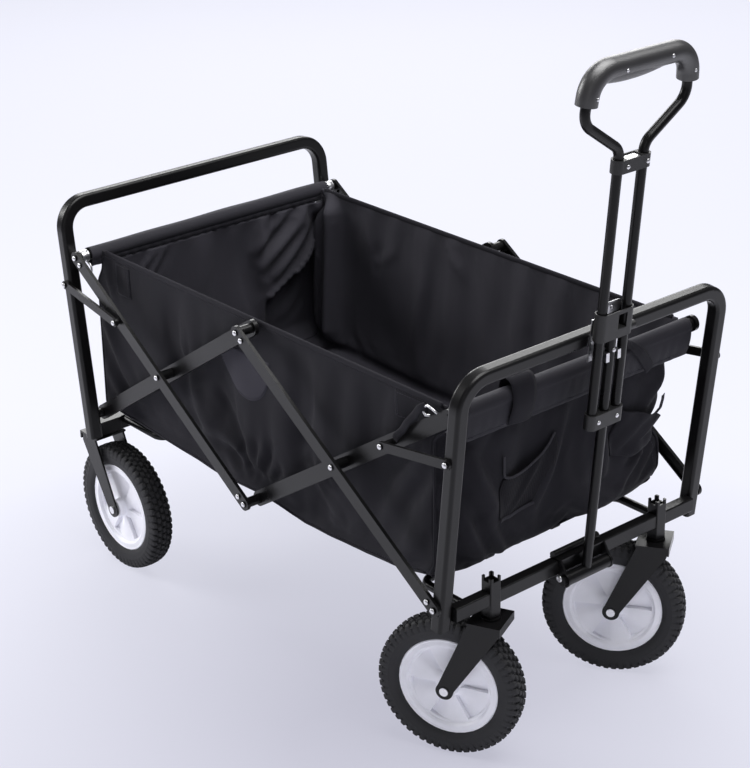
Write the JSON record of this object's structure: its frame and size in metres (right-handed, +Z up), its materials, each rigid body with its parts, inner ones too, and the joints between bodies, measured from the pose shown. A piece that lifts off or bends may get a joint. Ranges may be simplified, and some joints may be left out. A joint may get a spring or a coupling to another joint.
{
  "type": "folding utility wagon",
  "caption": "Folding utility wagon: scissor sides, fabric bag, front casters, fixed rear wheels and a telescoping pull handle.",
  "frame": {"origin": "on the floor, under the middle of the overall length and width", "axes": "+X forward to the pull handle, +Y left, +Z up"},
  "size_m": [0.947, 0.5122, 0.9327],
  "materials": {
    "frame": "satin",
    "bolt": "satin",
    "tyre": "matte",
    "rim": "satin",
    "black_plastic": "satin",
    "grip": "matte",
    "cloth": "matte"
  },
  "bodies": {
    "front_frame": {"front_frame_tube": "frame", "front_crossbar": "frame", "front_floor_rail": "frame", "handle_hinge": "frame", "handle_clip": "bolt"},
    "channel_front": {"channel_front": "frame"},
    "bar_rear": {"bar_rear": "frame"},
    "rear_frame": {"rear_frame_tube": "frame", "rear_crossbar": "frame", "rear_floor_rail": "frame", "fork_rear_right": "frame", "fork_rear_left": "frame", "axle_rear_right": "bolt", "axle_rear_left": "bolt"},
    "bar_front": {"bar_front": "frame"},
    "channel_rear": {"channel_rear": "frame"},
    "link_front": {"link_front": "frame"},
    "link_rear": {"link_rear": "frame"},
    "floor_arm_front": {"floor_arm_front": "frame"},
    "floor_arm_rear": {"floor_arm_rear": "frame"},
    "hem_front": {"hem_tube_front": "frame", "bag_front": "cloth", "bag_sides": "cloth"},
    "hem_rear": {"hem_tube_rear": "frame", "bag_rear": "cloth"},
    "caster_right": {"fork_front_right": "frame", "axle_front_right": "bolt"},
    "caster_left": {"fork_front_left": "frame", "axle_front_left": "bolt"},
    "wheel_front_right": {"rim_front_right": "rim", "tyre_front_right": "tyre"},
    "wheel_front_left": {"rim_front_left": "rim", "tyre_front_left": "tyre"},
    "wheel_rear_right": {"rim_rear_right": "rim", "tyre_rear_right": "tyre"},
    "wheel_rear_left": {"rim_rear_left": "rim", "tyre_rear_left": "tyre"},
    "handle": {"handle_pole": "frame", "handle_guide": "black_plastic"},
    "handle_top": {"handle_slider": "black_plastic", "handle_loop": "frame", "handle_yoke": "black_plastic", "handle_grip": "grip"}
  },
  "joints": [
    {"name": "fold", "type": "hinge", "parent": "front_frame", "child": "channel_front", "pos_m": [0.37151, 0, 0.251], "axis": [0, 1, 0], "range_deg": [0, 36.5], "deforming": ["bag_sides"]},
    {"name": "fold_mid_top", "type": "hinge", "parent": "channel_front", "child": "bar_rear", "pos_m": [-0.01549, 0, 0.506], "axis": [0, 1, 0], "range_deg": [-73, 0]},
    {"name": "fold_rear_foot", "type": "hinge", "parent": "bar_rear", "child": "rear_frame", "pos_m": [-0.40249, 0, 0.251], "axis": [0, 1, 0], "range_deg": [0, 36.5]},
    {"name": "fold_front_cross", "type": "hinge", "parent": "channel_front", "child": "bar_front", "pos_m": [0.17801, 0, 0.3785], "axis": [0, 1, 0], "range_deg": [-73, 0]},
    {"name": "fold_rear_cross", "type": "hinge", "parent": "bar_rear", "child": "channel_rear", "pos_m": [-0.20899, 0, 0.3785], "axis": [0, 1, 0], "range_deg": [0, 73]},
    {"name": "fold_front_hem", "type": "hinge", "parent": "bar_front", "child": "hem_front", "pos_m": [0.37151, 0, 0.506], "axis": [0, 1, 0], "range_deg": [0, 36.5]},
    {"name": "fold_rear_hem", "type": "hinge", "parent": "channel_rear", "child": "hem_rear", "pos_m": [-0.40249, 0, 0.506], "axis": [0, 1, 0], "range_deg": [-36.5, 0]},
    {"name": "fold_front_link", "type": "hinge", "parent": "front_frame", "child": "link_front", "pos_m": [0.39403, 0, 0.46], "axis": [0, 1, 0], "range_deg": [0, 73]},
    {"name": "fold_rear_link", "type": "hinge", "parent": "rear_frame", "child": "link_rear", "pos_m": [-0.42501, 0, 0.46], "axis": [0, 1, 0], "range_deg": [-73, 0]},
    {"name": "fold_front_arm", "type": "hinge", "parent": "front_frame", "child": "floor_arm_front", "pos_m": [0.27551, 0, 0.227], "axis": [0, 1, 0], "range_deg": [0, 74.83]},
    {"name": "fold_rear_arm", "type": "hinge", "parent": "rear_frame", "child": "floor_arm_rear", "pos_m": [-0.30649, 0, 0.227], "axis": [0, 1, 0], "range_deg": [-74.83, 0]},
    {"name": "swivel_right", "type": "hinge", "parent": "front_frame", "child": "caster_right", "pos_m": [0.38001, -0.155, 0.23], "axis": [0, 0, 1], "continuous": true},
    {"name": "swivel_left", "type": "hinge", "parent": "front_frame", "child": "caster_left", "pos_m": [0.38001, 0.155, 0.23], "axis": [0, 0, 1], "continuous": true},
    {"name": "roll_front_right", "type": "hinge", "parent": "caster_right", "child": "wheel_front_right", "pos_m": [0.33111, -0.17791, 0.1], "axis": [-0.4242, 0.9056, 0], "continuous": true},
    {"name": "roll_front_left", "type": "hinge", "parent": "caster_left", "child": "wheel_front_left", "pos_m": [0.33535, 0.12465, 0.1], "axis": [-0.5621, 0.8271, 0], "continuous": true},
    {"name": "roll_rear_right", "type": "hinge", "parent": "rear_frame", "child": "wheel_rear_right", "pos_m": [-0.37349, -0.208, 0.1], "axis": [0, 1, 0], "continuous": true},
    {"name": "roll_rear_left", "type": "hinge", "parent": "rear_frame", "child": "wheel_rear_left", "pos_m": [-0.37349, 0.208, 0.1], "axis": [0, 1, 0], "continuous": true},
    {"name": "handle_tilt", "type": "hinge", "parent": "front_frame", "child": "handle", "pos_m": [0.39751, 0, 0.226], "axis": [0, 1, 0], "range_deg": [0, 90]},
    {"name": "handle_slide", "type": "slide", "parent": "handle", "child": "handle_top", "axis": [0.0898, 0, 0.996], "range_m": [-0.175, 0.06]}
  ],
  "couplings": [
    {"joint": "fold_mid_top", "follows": "fold", "ratio": -2},
    {"joint": "fold_rear_foot", "follows": "fold", "ratio": 1},
    {"joint": "fold_front_cross", "follows": "fold", "ratio": -2},
    {"joint": "fold_rear_cross", "follows": "fold", "ratio": 2},
    {"joint": "fold_front_hem", "follows": "fold", "ratio": 1},
    {"joint": "fold_rear_hem", "follows": "fold", "ratio": -1},
    {"joint": "fold_front_link", "follows": "fold", "ratio": 2},
    {"joint": "fold_rear_link", "follows": "fold", "ratio": -2},
    {"joint": "fold_front_arm", "follows": "fold", "ratio": 2.05},
    {"joint": "fold_rear_arm", "follows": "fold", "ratio": -2.05}
  ]
}
